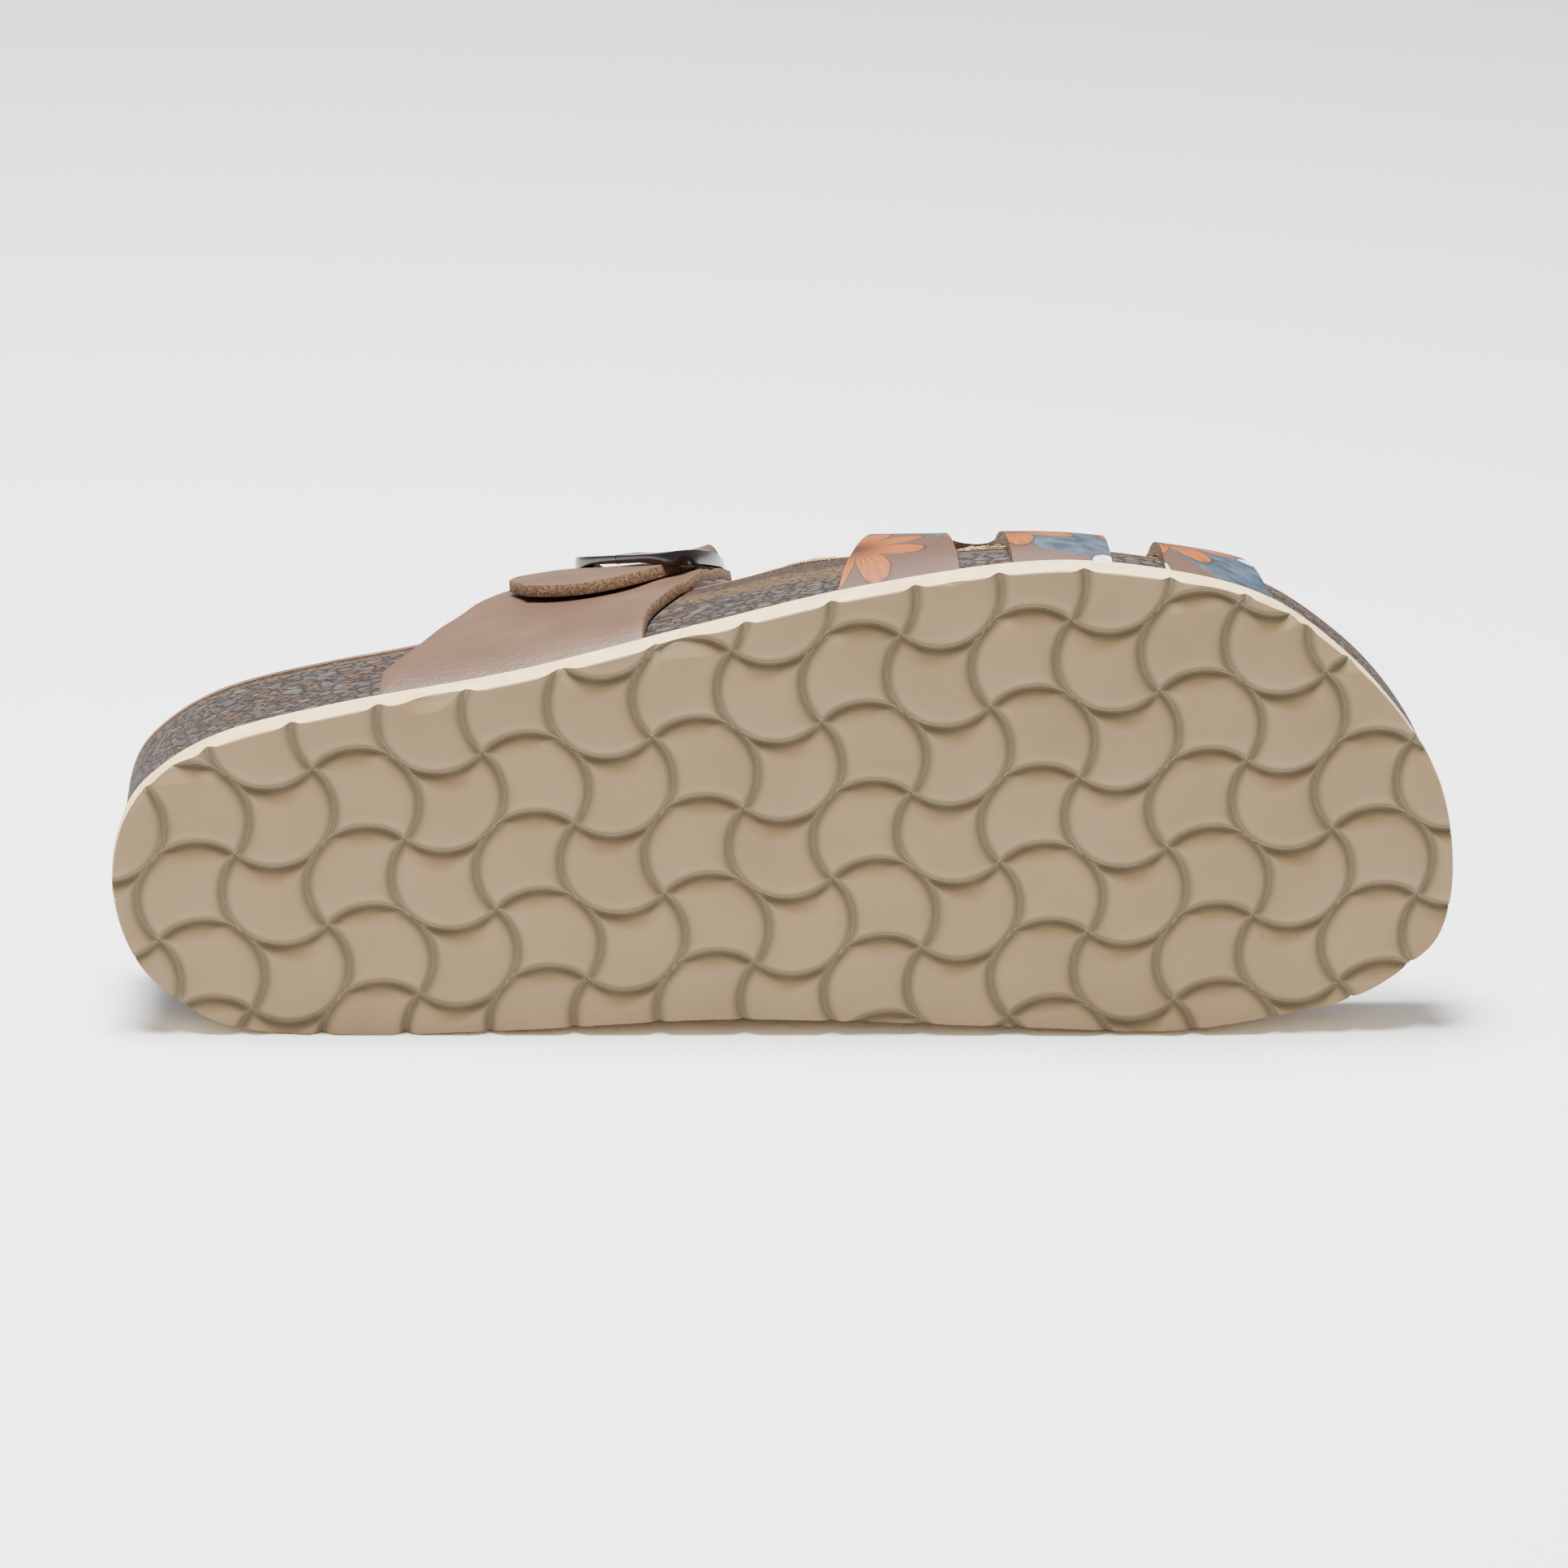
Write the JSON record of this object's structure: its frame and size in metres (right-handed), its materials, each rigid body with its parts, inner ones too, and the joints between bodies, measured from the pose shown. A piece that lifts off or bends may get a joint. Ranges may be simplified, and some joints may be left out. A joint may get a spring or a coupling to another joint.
{
  "type": "cork footbed sandal",
  "caption": "Slip-on summer sandal for the right foot: cork footbed, wavy rubber tread, broad slotted forefoot upper and buckled instep strap, lying on its inner side.",
  "frame": {"origin": "on the floor at z = 0, under the middle of the bounding box", "axes": "+X from the heel to the toe (3.1 degrees off the sole's own line), +Y from the tread up to the straps, +Z from the inner side, which lies on the floor, to the outer side"},
  "size_m": [0.2496, 0.0912, 0.0946],
  "materials": {
    "outsole": "matte moulded foam rubber",
    "footbed_cork": "pressed cork granules",
    "footbed_liner": "suede with a fibrous cut edge",
    "forefoot_upper": null,
    "instep_quarter": "smooth fine-grained leather with raw cut edges",
    "instep_strap": "smooth fine-grained leather with raw cut edges",
    "buckle_keeper_upper": "smooth leather",
    "buckle_keeper_lower": "smooth leather",
    "buckle_frame": "polished dark gunmetal",
    "buckle_prong": "polished dark gunmetal"
  },
  "bodies": {
    "root": {"outsole": "outsole", "footbed_cork": "footbed_cork", "footbed_liner": "footbed_liner", "forefoot_upper": "forefoot_upper", "instep_quarter": "instep_quarter", "instep_strap": "instep_strap", "buckle_keeper_upper": "buckle_keeper_upper", "buckle_keeper_lower": "buckle_keeper_lower", "buckle_frame": "buckle_frame", "buckle_prong": "buckle_prong"}
  },
  "joints": []
}
